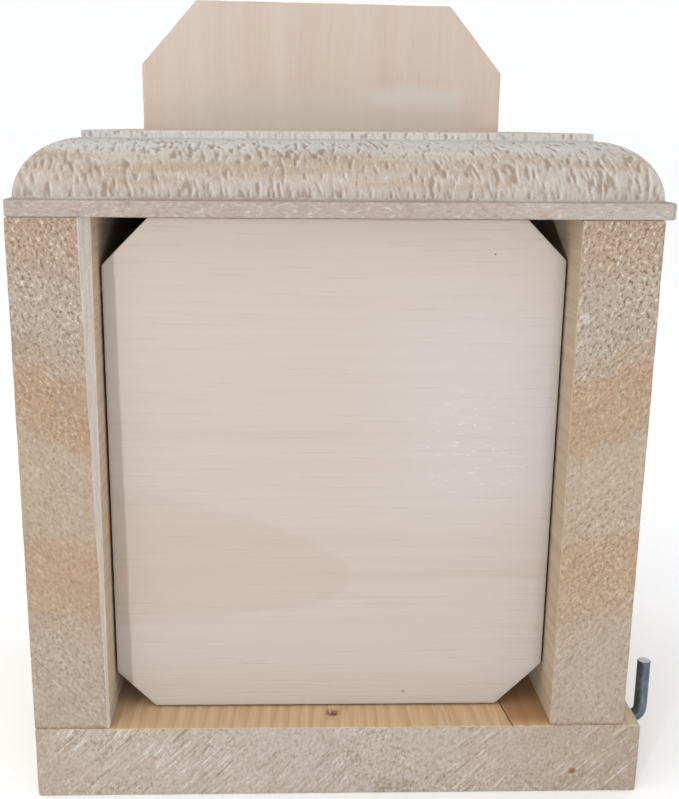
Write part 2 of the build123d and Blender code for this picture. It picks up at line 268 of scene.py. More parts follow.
def wall_specks(s, co):
    """How strong the torn specks' painted shade and painted highlights are: strongest near the top of the
    walls, fading downwards.
    """
    _, _, z = s.split(co)
    patch = s.noise(co, (55, 55, 40), 2.0, 0.5)
    return s.add(s.mul(s.band(z, 0.080, 0.142), 0.50), s.add(0.34, s.mul(s.band(patch, 0.45, 0.7), 0.3)))


def base_specks(s, co):
    patch = s.noise(co, (48, 48, 90), 2.0, 0.5)
    return s.add(0.30, s.mul(s.band(patch, 0.4, 0.7), 0.35))


STRIP_DULL, STRIP_PALE = (0.425, 0.37, 0.31), (0.475, 0.435, 0.39)


def planed_strip(s, co, colour, normal):
    """The bevel planed on the left wall is paler and smoother than the sawn wood beside it."""
    strip = s.mul(s.band(normal[0], 0.35, 0.6), s.band(normal[1], -0.35, -0.6))
    streak = s.noise(co, (1300, 1300, 90), 3.0, 0.6)
    return s.stain(colour, strip, 0.8, s.mix(s.band(streak, 0.38, 0.62), STRIP_DULL, STRIP_PALE))


SHELTERED_HALF = (0.0562, 0.0556)       # half the width of the base's top between the walls
WEATHERED_GAIN = (0.88, 1.02, 1.22)
CRACK_X, CRACK_SLANT, CRACK_WANDER = 0.0378, 0.12, 0.0012
CRACK, BESIDE_CRACK = (0.05, 0.025, 0.015), (0.30, 0.135, 0.05)
KNOT_SPOT, KNOT = (0.0601, 0.0060, 0.0013, 0.0009), (0.15, 0.085, 0.04)
STAIN_SPOTS = ((0.0115, 0.0010, 0.0040), (0.0168, 0.0016, 0.0030),      # x, z and radius
               (0.0045, 0.0094, 0.0024), (0.0018, 0.0122, 0.0020))
STAIN_SOFT, STAIN = 0.0016, (0.17, 0.125, 0.075)
PIT_SHADE, PIT_CHIP = (0.08, 0.03, 0.012), (0.66, 0.42, 0.22)


def base_marks(s, co, colour, normal):
    """On the base: a crack with a darker area to its right, a pit by the panel whose hollow is darkened as
    painted shade, a knot and stains in front.
    """
    _, ny, nz = normal
    x, y, _ = s.split(co)
    top = s.band(nz, 0.7, 0.9)
    sheltered = s.mul(top, s.band(s.size(s.add(x, -MIRROR_X)), *SHELTERED_HALF))
    weathered = s.mul(s.band(sheltered, 1.0, 0.0), s.band(s.size(ny), *FACES_END[::-1]))
    colour = s.mix(weathered, colour, s.tint(colour, WEATHERED_GAIN))
    wander = s.sway(co, (10, 130, 10), 2.0, 0.5, CRACK_WANDER)
    off = s.add(s.add(x, s.mul(y, CRACK_SLANT)), s.add(-CRACK_X, wander))
    crack = s.band(s.size(off), 0.00035, 0.00008)
    beside = s.mul(s.band(off, -0.0004, 0.0006), s.band(off, 0.022, 0.008), s.band(y, -0.0535, -0.047))
    colour = s.stain(colour, s.mul(beside, top), 0.72, BESIDE_CRACK)
    colour = s.stain(colour, s.mul(crack, top), 0.85, CRACK)
    front = s.band(ny, *FACES_FRONT)
    colour = s.stain(colour, s.mul(spot_at(s, co, *KNOT_SPOT), front), 0.95, KNOT)
    grit = s.band(s.noise(co, (1100, 1100, 1100), 2.0, 0.6, (5, 1, 2)), 0.46, 0.56)
    for spot in STAIN_SPOTS:
        colour = s.stain(colour, s.mul(spot_at(s, co, *spot, STAIN_SOFT), grit, front), 0.62, STAIN)
    chip = s.band(s.noise(co, (1500, 1500, 1500), 2.0, 0.6, (2, 9, 4)), 0.57, 0.66)
    # Painted shade in the pit's hollow, mixed with paler splinters.
    return s.stain(colour, s.mul(s.mark("torn"), top), 0.95, s.mix(chip, PIT_SHADE, PIT_CHIP))


WALL_TOP, WALL_HEIGHT = 0.147, 0.128
WALL_BANDS = (
    (0.00, (0.47, 0.350, 0.270)), (0.07, (0.50, 0.375, 0.285)), (0.13, (0.51, 0.425, 0.350)),
    (0.25, (0.505, 0.415, 0.335)), (0.30, (0.50, 0.345, 0.235)), (0.38, (0.505, 0.360, 0.250)),
    (0.43, (0.53, 0.430, 0.330)), (0.57, (0.535, 0.425, 0.315)), (0.62, (0.51, 0.360, 0.245)),
    (0.76, (0.52, 0.385, 0.275)), (0.83, (0.51, 0.425, 0.345)), (1.00, (0.50, 0.415, 0.335)),
)
WALL_PATCH_SPOT, WALL_PATCH = (0.0581, 0.1244, 0.0019, 0.0012), (0.72, 0.68, 0.63)
WALL_SEAM_Z, WALL_SEAM = (0.0205, 0.0192), (0.24, 0.13, 0.075)


def wall_tone(s, co):
    """Soft tone bands down a wall's cut end; the two walls mirror each other."""
    x, y, z = s.split(co)
    side = s.size(s.add(x, -MIRROR_X))
    drift = s.sway(s.join(side, y, z), (42, 42, 60), 3.0, 0.55, 0.022)
    slope = s.mul(s.add(side, -0.0655), 0.35)
    place = s.math("DIVIDE", s.add(s.sub(WALL_TOP, z), s.add(slope, drift)), WALL_HEIGHT)
    patch = spot_at(s, co, *WALL_PATCH_SPOT, MIRROR_X)
    bands = s.stain(s.ramp(place, WALL_BANDS), patch, 0.55, WALL_PATCH)
    return s.stain(bands, s.band(z, *WALL_SEAM_Z), 0.55, WALL_SEAM)


BASE_BANDS = (
    (0.00, (0.50, 0.405, 0.320)), (0.15, (0.545, 0.455, 0.375)), (0.45, (0.54, 0.465, 0.395)),
    (0.72, (0.53, 0.44, 0.36)), (0.86, (0.49, 0.385, 0.300)), (1.00, (0.44, 0.345, 0.265)),
)
BASE_STAIN = (0.30, 0.22, 0.15)


def base_tone(s, co):
    """Tones from left to right along the base's cut edge, with dull stains low down."""
    x, _, z = s.split(co)
    place = s.add(s.add(s.mul(x, 6.2), 0.5), s.sway(co, (30, 30, 70), 3.0, 0.55, 0.25))
    stain = s.band(s.noise(co, (70, 70, 210), 2.0, 0.5), 0.63, 0.74)
    return s.stain(s.ramp(place, BASE_BANDS), s.mul(stain, s.band(z, 0.009, 0.001)), 0.45, BASE_STAIN)


ROOF_RISE = (0.1475, 0.1665)            # heights where the roof's tones begin and end
# Paler and cooler towards the top: partly the wood's own tone, partly painted light from above.
ROOF_BANDS = (
    (0.0, (0.475, 0.385, 0.32)), (0.17, (0.48, 0.39, 0.325)), (0.22, (0.56, 0.49, 0.42)),
    (0.5, (0.545, 0.465, 0.375)), (0.68, (0.59, 0.515, 0.43)), (0.80, (0.69, 0.67, 0.62)),
    (1.0, (0.64, 0.60, 0.54)),
)
ROOF_COOL_LIGHT, ROOF_BROWN = (0.56, 0.54, 0.505), (0.47, 0.335, 0.225)
ROOF_RELIEF_SHADE, ROOF_RELIEF_LIGHT, ROOF_FUZZ = (0.29, 0.20, 0.135), (0.80, 0.76, 0.70), (0.3, 0.22, 0.16)
ROOF_TEAR_SHADE, ROOF_CREST_HIGHLIGHT = (0.27, 0.185, 0.12), (0.84, 0.79, 0.72)
ROOF_GAIN = (0.655, 0.66, 0.665)
ROOF_GRAIN = ((0.52, 0.43, 0.335), (0.41, 0.30, 0.20))
ROOF_MIDDLE, ROOF_HALF = 0.1565, (0.0088, 0.0093)       # height of its middle, and near either flat face


def roof_tone(s, co):
    """Roof edge tones: brown-grey lip, beige-brown curve with browner patches, cool pale top band. The
    curve's paler upper part and the top band are painted light from above, and the cooler right end is
    painted light from the right.
    """
    x, _, z = s.split(co)
    up = s.band(z, *ROOF_RISE, smooth=False)
    colour = s.ramp(s.add(up, s.sway(co, (26, 26, 26), 3.0, 0.5, 0.22)), ROOF_BANDS)
    # Painted light from the right: the right end is cooled.
    colour = s.stain(colour, s.band(x, 0.01, 0.07), 0.35, ROOF_COOL_LIGHT)
    belt = s.mul(s.band(z, 0.1515, 0.155), s.band(z, 0.1640, 0.1605))
    zone = s.noise(co, (30, 30, 260), 3.0, 0.55, (3.3, 0, 0))
    return s.stain(colour, s.mul(s.band(zone, 0.46, 0.66), belt), 0.6, ROOF_BROWN)


def roof_material():
    """Moulded roof edge with torn fibres that run down the curve, drawn with painted shade and painted
    highlights of their relief; growth lines on top and sides.
    """
    s = Shader("roof_wood")
    co = s.object_co
    x, y, z = s.split(co)
    nx, ny, nz = [s.size(part) for part in normal_parts(s)]
    torn = s.noise(s.join(s.add(x, s.mul(z, 0.15)), y, z), (1600, 900, 330), 3.0, 0.6)
    lip_fuzz = s.noise(co, (700, 700, 1900), 3.0, 0.65)
    on_lip = s.band(z, 0.1512, 0.1506)
    fuzz = s.noise(co, (2000, 2000, 1500), 2.0, 0.6)
    lined = s.add(s.mul(s.sub(1.0, on_lip), torn), s.mul(on_lip, lip_fuzz))
    # Painted shade and painted highlights of the torn relief: dark and pale flecks, darker in the tears,
    # paler on the crests.
    colour = s.stain(roof_tone(s, co), s.band(lined, 0.54, 0.70), 0.45, ROOF_RELIEF_SHADE)
    colour = s.stain(colour, s.band(lined, 0.46, 0.30), 0.45, ROOF_RELIEF_LIGHT)
    colour = s.stain(colour, s.band(fuzz, 0.62, 0.35), 0.12, ROOF_FUZZ)
    colour = s.stain(colour, s.mark("torn"), 0.62, ROOF_TEAR_SHADE)
    colour = s.stain(colour, s.mark("pale"), 0.42, ROOF_CREST_HIGHLIGHT)
    colour = s.tint(colour, ROOF_GAIN)
    top_colour, top_height = long_grain(s, co, *ROOF_GRAIN, 3.1)
    flat = s.mul(s.band(nz, 0.985, 0.998), s.band(s.size(s.add(z, -ROOF_MIDDLE)), *ROOF_HALF))
    colour = s.stain(colour, s.band(s.sub(nx, ny), 0.15, 0.4), 0.6, top_colour)
    colour = s.mix(flat, colour, top_colour)
    height = s.add(s.mul(fuzz, 0.2), s.mul(lined, -0.9))
    height = s.add(s.mul(height, s.sub(1.0, flat)), s.mul(top_height, s.mul(flat, 0.3)))
    return s.finish(colour, 0.8, 0.2, s.bump(height, *WOOD_BUMP))


# ---- plywood materials
PLY_SKIN, PLY_CORE, PLY_SHADE = (0.56, 0.44, 0.33), (0.40, 0.28, 0.18), (0.2, 0.13, 0.08)
FIGURE, FIGURE_RIM = (0.60, 0.47, 0.36), (0.52, 0.38, 0.28)
FIGURE_RUN, FIGURE_HALF = (-0.058, 0.003), 0.0185       # x from its foot to its point, half its height
DOT_SPOTS, DOT = ((0.0358, 0.138), (0.017, 0.0232)), (0.25, 0.16, 0.10)
PAINTED_GLINT_SPOT = (0.0325, 0.0905, 0.022, 0.021)
PAINTED_SHEEN, PAINTED_GLINT = (0.70, 0.65, 0.67), (0.95, 0.93, 0.96)
PLATE_STRIPE, PLATE_ROOF_LIGHT_DULL, PLATE_ROOF_LIGHT_BRIGHT = (0.70, 0.60, 0.51), (0.60, 0.555, 0.485), (0.72, 0.70, 0.66)


def ply_material(name, upright, faces_y, tones, figure, gain):
    """Thin three-layer plywood; face grain runs level, or upright when told so, and edges show the layers.

    faces_y is where its two faces are; tones are three face colours and the colour of the fibres.
    """
    s = Shader(name)
    co = s.object_co
    _, y, _ = s.split(co)
    fibre = s.noise(co, (900, 900, 22) if upright else (16, 900, 900), 3.0, 0.55)
    bands = s.noise(co, (110, 110, 5) if upright else (4, 110, 110), 3.0, 0.5)
    vessel = s.noise(co, (1500, 1500, 70) if upright else (60, 1500, 1500), 1.0, 0.5, (2, 0, 5))
    dashes = s.band(vessel, 0.64, 0.74)
    colour = s.ramp(bands, list(zip((0.3, 0.5, 0.7), tones)))
    colour = s.stain(colour, s.band(fibre, 0.65, 0.35), 0.12, tones[3])
    colour = figure(s, co, s.stain(colour, dashes, 0.14, tones[3]))
    ragged = s.noise(co, (600, 600, 600), 3.0, 0.6)
    depth = s.add(s.band(y, *faces_y, smooth=False), s.mul(s.add(ragged, -0.5), 0.05))
    core = s.mul(s.band(depth, 0.27, 0.32), s.band(depth, 0.73, 0.68))
    layer = s.stain(s.mix(core, PLY_SKIN, PLY_CORE), s.band(ragged, 0.55, 0.35), 0.35, PLY_SHADE)
    edge = s.band(s.size(normal_parts(s)[1]), *FACES_END[::-1])
    colour = s.mix(edge, colour, layer)
    height = s.add(s.mul(fibre, 0.5), s.add(s.mul(dashes, -0.6), s.mul(edge, ragged, 3.0)))
    shine = s.noise(co, (1500, 260, 260) if upright else (260, 260, 1500), 2.0, 0.6, (9, 9, 9))
    rough = s.sub(0.52, s.mul(s.band(shine, 0.6, 0.75), 0.2))
    return s.finish(s.tint(colour, gain), rough, 0.45, s.bump(height, 0.0002, 0.4))


def panel_figure(s, co, colour):
    """A faint pointed grain figure low on the left, and on the right of the front panel a painted
    highlight: a cool sheen with glints at its middle.
    """
    x, _, z = s.split(co)
    run = s.band(x, *FIGURE_RUN, smooth=False)
    half = s.mul(s.math("SQRT", s.math("MAXIMUM", s.sub(1.0, run), 0.0)), FIGURE_HALF)
    middle = s.add(s.mul(run, -0.006), 0.0615)
    height = s.add(z, s.sway(co, (40, 40, 70), 3.0, 0.5, 0.006))
    past = s.sub(s.size(s.sub(height, middle)), half)
    colour = s.stain(colour, s.band(past, 0.0015, -0.0035), 0.35, FIGURE)
    colour = s.stain(colour, s.band(s.size(past), 0.0022, 0.0), 0.12, FIGURE_RIM)
    for spot in DOT_SPOTS:
        colour = s.stain(colour, spot_at(s, co, *spot, 0.00042, 0.0003), 0.8, DOT)
    # Painted highlight: a cool sheen over the right of the panel, with glints at its middle.
    painted_sheen = s.mul(s.band(x, -0.005, 0.03), s.mul(s.band(z, 0.055, 0.085), s.band(z, 0.138, 0.115)))
    painted_glint = s.band(s.noise(co, (420, 420, 1900), 2.0, 0.65, (1, 2, 3)), 0.60, 0.72)
    colour = s.stain(colour, painted_sheen, 0.45, PAINTED_SHEEN)
    return s.stain(colour, s.mul(spot_at(s, co, *PAINTED_GLINT_SPOT), painted_glint), 0.55, PAINTED_GLINT)


def plate_figure(s, co, colour):
    """A pale upright stripe, and low on the back plate, just above the roof, a duller strip with a brighter
    patch in it: painted light thrown up from the roof.
    """
    x, _, z = s.split(co)
    place = s.add(x, s.sway(co, (25, 25, 8), 2.0, 0.5, 0.006))
    stripe = s.mul(s.band(place, -0.004, 0.004), s.band(place, 0.02, 0.012))
    colour = s.stain(colour, stripe, 0.22, PLATE_STRIPE)
    height = s.add(z, s.sway(co, (60, 60, 120), 3.0, 0.55, 0.006))
    # Painted light thrown up from the roof: a duller strip on the plate's face just above it, with a
    # brighter patch.
    worn = s.mul(s.band(height, 0.1815, 0.1745), s.mul(s.band(x, -0.05, -0.036), s.band(x, 0.048, 0.034)))
    worn = s.mul(worn, s.band(normal_parts(s)[1], *FACES_FRONT))
    colour = s.stain(colour, worn, 0.5, PLATE_ROOF_LIGHT_DULL)
    bright = s.mul(worn, s.mul(s.band(x, 0.004, 0.018), s.band(height, 0.170, 0.177)))
    return s.stain(colour, bright, 0.4, PLATE_ROOF_LIGHT_BRIGHT)


# ---- metals
ZINC_TONES = ((0.25, (0.05, 0.065, 0.088)), (0.5, (0.10, 0.13, 0.165)), (0.75, (0.22, 0.27, 0.325)))
ZINC_CUT, ZINC_STREAK, ZINC_SPECK = (0.62, 0.64, 0.66), (0.18, 0.215, 0.26), (0.09, 0.10, 0.12)
NAIL_TONES = ((0.3, (0.30, 0.31, 0.32)), (0.7, (0.58, 0.59, 0.60)))
RUST = (0.22, 0.12, 0.07)
METALLIC, METAL_SPECULAR = 0.9, 0.5


def zinc_material():
    """Dull zinc plating, brighter where the rod's end is cut."""
    s = Shader("dull_zinc")
    co = s.object_co
    cloud = s.noise(co, (420, 420, 260), 4.0, 0.6)
    streak = s.noise(co, (2600, 2600, 160), 3.0, 0.6)
    speck = s.band(s.noise(co, (2400, 2400, 2400), 2.0, 0.6), 0.62, 0.74)
    colour = s.stain(s.ramp(cloud, ZINC_TONES), s.band(normal_parts(s)[2], 0.8, 0.95), 0.8, ZINC_CUT)
    colour = s.stain(colour, streak, 0.3, ZINC_STREAK)
    colour = s.stain(colour, speck, 0.6, ZINC_SPECK)
    rough = s.add(0.28, s.mul(cloud, 0.28))
    height = s.add(s.mul(cloud, 0.5), s.add(s.mul(streak, 0.3), s.mul(speck, -0.4)))
    return s.finish(colour, rough, METAL_SPECULAR, s.bump(height, 0.00008, 0.5), METALLIC)


def nail_material():
    """Bright steel nails with some rust."""
    s = Shader("nail_steel")
    co = s.object_co
    cloud = s.noise(co, (900, 900, 900), 4.0, 0.65)
    rust = s.band(s.noise(co, (500, 500, 500), 3.0, 0.6, (4, 2, 8)), 0.56, 0.7)
    check = s.noise(co, (3800, 3800, 3800), 1.0, 0.5)
    colour = s.stain(s.ramp(cloud, NAIL_TONES), rust, 0.4, RUST)
    rough = s.add(0.3, s.mul(rust, 0.35))
    return s.finish(colour, rough, METAL_SPECULAR, s.bump(s.add(cloud, check), 0.00006, 0.5), METALLIC)


# ---- meshes
CREASE, ROOF_CREASE = math.radians(50), math.radians(40)


def fbm(x, y, z, octaves, rough):
    """Noise summed over octaves, each about twice as fine and rough times as strong as the last."""
    total, size, step = 0.0, 1.0, 1.0
    for _ in range(octaves):
        total += size * noise.noise(Vector((x * step, y * step + 3.7, z * step)))
        size *= rough
        step *= 2.03
    return total


def lines(*stops):
    """Positions along an axis: each stop is (position, spacing up to the next stop)."""
    out = []
    for (a, step), (b, _) in zip(stops, stops[1:]):
        count = max(1, round((b - a) / step))
        out += [a + (b - a) * i / count for i in range(count)]
    return out + [stops[-1][0]]


def grid_box(xs, ys, zs):
    """Vertices and quads of a box's skin on the given grid lines, all faces outward."""
    axes = (xs, ys, zs)
    sizes = (len(xs) - 1, len(ys) - 1, len(zs) - 1)
    index, points, quads = {}, [], []

    def vert(key):
        if key not in index:
            index[key] = len(points)
            points.append(Vector((axes[0][key[0]], axes[1][key[1]], axes[2][key[2]])))
        return index[key]

    for axis in range(3):
        a, b = (axis + 1) % 3, (axis + 2) % 3
        for end in (0, sizes[axis]):
            for u in range(sizes[a]):
                for v in range(sizes[b]):
                    quad = []
                    for du, dv in ((0, 0), (1, 0), (1, 1), (0, 1)):
                        key = [0, 0, 0]
                        key[axis], key[a], key[b] = end, u + du, v + dv
                        quad.append(vert(tuple(key)))
                    quads.append(quad if end else quad[::-1])
    return points, quads


def box_outward(p, lo, hi, r):
    """The rounded box's surface point for p, and the direction out of the wood there."""
    core = Vector([min(max(c, l + r), h - r) for c, l, h in zip(p, lo, hi)])
    d = p - core
    n = d.normalized()
    return core + n * r, n


def link(name, data):
    obj = bpy.data.objects.new(name, data)
    bpy.context.scene.collection.objects.link(obj)
    return obj


def mesh_object(name, mesh, material, marks, crease=CREASE):
    """An object from a mesh; marks are numbers for its points, which the material reads by name."""
    mesh.materials.append(material)
    for mark, values in marks.items():
        layer = mesh.attributes.new(mark, "FLOAT", "POINT")
        layer.data.foreach_set("value", values)
    mesh.shade_smooth()
    mesh.set_sharp_from_angle(angle=crease)
    return link(name, mesh)


def mesh_from(name, points, quads):
    mesh = bpy.data.meshes.new(name)
    mesh.from_pydata([tuple(p) for p in points], [], quads)
    mesh.update()
    return mesh


def settle(obj, body, slot, *nodes):
    """The finished piece rides on its body and stands for its CAD nodes."""
    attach(obj, body)
    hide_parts(*nodes)


def turned(profile, centre, axis, count, wobble=0.0):
    """A closed turned shape: profile is (distance along the axis, radius), the axis is a unit vector.

    wobble is how far it strays from round.
    """
    frame_turn = Vector((0, 0, 1)).rotation_difference(axis).to_matrix()
    points, quads = [], []
    for along, radius in profile:
        for i in range(count):
            angle = 2 * math.pi * i / count
            spot = Vector((math.cos(angle), math.sin(angle), 0.0))
            r = radius + wobble * noise.noise(Vector((spot.x * 9, spot.y * 9, along * 260)))
            points.append(centre + frame_turn @ (spot * r + Vector((0, 0, along))))
    for k in range(len(profile) - 1):
        for i in range(count):
            j = (i + 1) % count
            quads.append([k * count + i, k * count + j, (k + 1) * count + j, (k + 1) * count + i])
    quads.append(list(range(count))[::-1])
    quads.append([(len(profile) - 1) * count + i for i in range(count)])
    return points, quads


def cut(obj, *shapes):
    """Cuts closed shapes out of a piece."""
    points, quads = [], []
    for shape_points, shape_quads in shapes:
        base = len(points)
        points += shape_points
        quads += [[base + i for i in q] for q in shape_quads]
    tool = link("cutter", mesh_from("cutter", points, quads))
    step = obj.modifiers.new("holes", "BOOLEAN")
    step.operation = "DIFFERENCE"
    step.solver = "EXACT"
    step.object = tool
    done = bpy.data.meshes.new_from_object(obj.evaluated_get(bpy.context.evaluated_depsgraph_get()))
    obj.modifiers.clear()
    obj.data = done
    bpy.data.objects.remove(tool)
    done.set_sharp_from_angle(angle=CREASE)


CUT_PAST = 0.01             # how far a cutter reaches out of the wood
SINK_DEPTH = 1.2 * MM
SINK_SIDES, SINK_WOBBLE = 40, 0.03 * MM


def head_sinking(spot, out, radius):
    """The round sinking over a nail's head; spot is the head's top and out points away from the wood."""
    profile = [(-SINK_DEPTH, radius), (CUT_PAST, radius)]
    return turned(profile, Vector(spot), Vector(out), SINK_SIDES, SINK_WOBBLE)


# ---- sawn boards
END_DEPTH = 0.30 * MM
SIDE_DEPTH = 0.14 * MM
EASE = 0.55 * MM
FINE = 0.45 * MM
COARSE = 2.2 * MM
HALF_DIAGONAL = 0.7071
PLANE_CHATTER = 0.03 * MM
PIT_STRETCH, PIT_RADIUS, PIT_EDGE, PIT_DEPTH = 1.5, 1.15 * MM, 0.45 * MM, 0.8 * MM


def sawn(p, n, seed, mirror=0.0):
    """How far a point of a sawn board lies inside the flat face, in metres, and how torn it is."""
    x, y, z = p
    if mirror:
        x = abs(x - mirror)
    end = n.y * n.y
    deep, torn = 0.0, 0.0
    if end > 0.05:
        slant = (x + z) * HALF_DIAGONAL
        fuzz = fbm(x * 640, seed, z * 560, 2, 0.7)
        marks = noise.noise(Vector((slant * 880, seed + 5.0, (z - x) * 55)))
        pit = max(0.0, noise.noise(Vector((x * 820, seed + 9.0, z * 600))) - 0.22)
        wide = noise.noise(Vector((x * 60, seed, z * 45)))
        torn = min(1.0, pit * 2.6)
        deep += end * END_DEPTH * (0.40 + 0.26 * fuzz + 0.20 * marks + 0.75 * pit + 0.22 * wide)
    if end < 0.95:
        fibre = noise.noise(Vector((x * 420, y * 14 + seed, z * 420)))
        wide = noise.noise(Vector((x * 30, y * 12, z * 22 + seed)))
        deep += (1 - end) * SIDE_DEPTH * (0.5 + 0.3 * fibre + 0.35 * wide)
    return max(0.0, deep), torn * end


def board(name, node, material, seed, bevel=None, mirror=0.0, pit=None):
    """A sawn board as large as its CAD node, with a close grid where it shows most.

    bevel is the width planed off the inner front corner at the bottom and at the top, mirror is the x
    that the surface mirrors about, and pit is the x and y of a small hollow in the top.
    """
    lo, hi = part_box(node)
    e = EASE
    xs = lines((lo.x, e * 0.4), (lo.x + e * 1.2, FINE), (hi.x - e * 1.2, e * 0.4), (hi.x, 1))
    ys = lines((lo.y, e * 0.4), (lo.y + e * 1.2, FINE), (lo.y + 7 * FINE, COARSE),
               (hi.y - 4 * FINE, FINE), (hi.y - e * 1.2, e * 0.4), (hi.y, 1))
    zs = lines((lo.z, e * 0.4), (lo.z + e * 1.2, FINE), (hi.z - e * 1.2, e * 0.4), (hi.z, 1))
    raw, quads = grid_box(xs, ys, zs)
    points, torn = [], []
    for p in raw:
        r = e * (1.0 + 0.5 * noise.noise(p * 170.0))
        q, n = box_outward(p, lo, hi, r)
        planed = 0.0
        if bevel:
            share = (q.z - lo.z) / (hi.z - lo.z)
            width = bevel[0] + (bevel[1] - bevel[0]) * share
            width += 0.25 * MM * noise.noise(Vector((0.0, 8.0, q.z * 90)))
            planed = width - (hi.x - q.x) - (q.y - lo.y)
        if planed > 0:
            q += Vector((-planed / 2, planed / 2, 0.0))
            q += Vector((-1, 1, 0)) * PLANE_CHATTER * (1 + noise.noise(Vector((q.x * 500, 0, q.z * 60))))
            torn.append(0.0)
        else:
            deep, worn = sawn(q, n, seed, mirror)
            if pit and n.z > 0.5:
                far = math.hypot((q.x - pit[0]) / PIT_STRETCH, q.y - pit[1])
                far += 0.7 * MM * noise.noise(q * 1100)
                hollow = min(1.0, max(0.0, (PIT_RADIUS - far) / PIT_EDGE))
                deep += PIT_DEPTH * hollow
                worn = hollow
            q -= n * deep
            torn.append(worn)
        points.append(q)
    return mesh_object(name, mesh_from(name, points, quads), material, {"torn": torn})


# ---- roof board
LIP = 3.8 * MM
LEDGE = 2.6 * MM
LEDGE_LEFT = 1.9 * MM
ROUND = 13.5 * MM
LIP_CORNER = 2.2 * MM
ROOF_EASE = 0.35 * MM
EASE_STEPS, LIP_STEPS, ARC_STEPS, BAND_STEPS, BACK_STEPS = 3, 8, 84, 4, 30
FRONT_STEP, SIDE_STEP = 0.28 * MM, 1.6 * MM
TEAR_RUN, TEAR_FOOT = 21 * MM, 2.2 * MM
TEAR_BASE, TEAR_DEPTH, CREST_HEIGHT = 0.08 * MM, 0.28 * MM, 0.05 * MM
LIP_BASE, LIP_DEPTH = 0.03 * MM, 0.16 * MM
BAND_BASE, BAND_DEPTH = 0.04 * MM, 0.2 * MM
ROOF_RIPPLE = 0.03 * MM
CREST_AHEAD, MITRE_CALM = 0.55 * MM, 0.6 * MM


def quarter(count):
    """Cosine and sine at count steps over a quarter turn, both ends included."""
    turns = [math.radians(90 * k / count) for k in range(count + 1)]
    return [(math.cos(a), math.sin(a)) for a in turns]


def roof_profile(bottom, top):
    """Points of the roof's edge as (distance in from the edge, height, out, up)."""
    inner = LEDGE + ROUND
    ease = ROOF_EASE
    steps = [(d * MM, bottom, 0.0, -1.0) for d in (16.1, 13, 10, 7, 4.5, 2.5, 1.2)]
    for c, s in quarter(EASE_STEPS):
        steps.append((ease * (1 - s), bottom + ease * (1 - c), s, -c))
    for k in range(1, LIP_STEPS):
        steps.append((0.0, bottom + ease + (LIP - 2 * ease) * k / LIP_STEPS, 1.0, 0.0))
    for c, s in quarter(EASE_STEPS):
        steps.append((ease * (1 - c), bottom + LIP - ease * (1 - s), c, s))
    for d in (0.8, 1.3, 1.8, 2.3):
        steps.append((d * MM, bottom + LIP, 0.0, 1.0))
    for c, s in quarter(ARC_STEPS):
        steps.append((LEDGE + ROUND * (1 - c), bottom + LIP + ROUND * s, c, s))
    rest = top - (bottom + LIP + ROUND)
    for k in range(1, BAND_STEPS + 1):
        steps.append((inner, bottom + LIP + ROUND + (rest - ease) * k / BAND_STEPS, 1.0, 0.0))
    for c, s in quarter(EASE_STEPS)[1:]:
        steps.append((inner + ease * (1 - c), top - ease * (1 - s), c, s))
    return steps


def roof_torn(u, s, side):
    """Torn flecks on the moulded edge, drawn down the curve: u runs along the edge, s down the curve."""
    if side:
        streak = fbm(u * 60, 4.0, s * 900, 2, 0.6)
        return max(0.0, streak - 0.15) * 0.8
    share = min(1.0, s / TEAR_RUN)
    zone = noise.noise(Vector((u * 30, share * 2.2, 2.0)))
    zone += 0.5 * noise.noise(Vector((u * 90, share * 4, 9.0)))
    lean = u + s * 0.14 + 0.9 * MM * noise.noise(Vector((u * 160, s * 120, 7.0)))
    fleck = noise.noise(Vector((lean * 1050, s * (200 + 260 * share), 0.3)))
    fine = noise.noise(Vector((lean * 1800, s * 520, 5.3)))
    level = 0.16 - 0.34 * zone + 0.3 * max(0.0, share - 0.7)
    torn = min(1.0, max(0.0, (fleck + 0.45 * fine - level) / 0.45))
    foot = max(0.0, 1.0 - s / TEAR_FOOT)
    teeth = max(0.0, noise.noise(Vector((u * 1050, 3.0, 1.0))) * 2.2)
    return max(torn, min(1.0, foot * 2) * min(1.0, teeth))


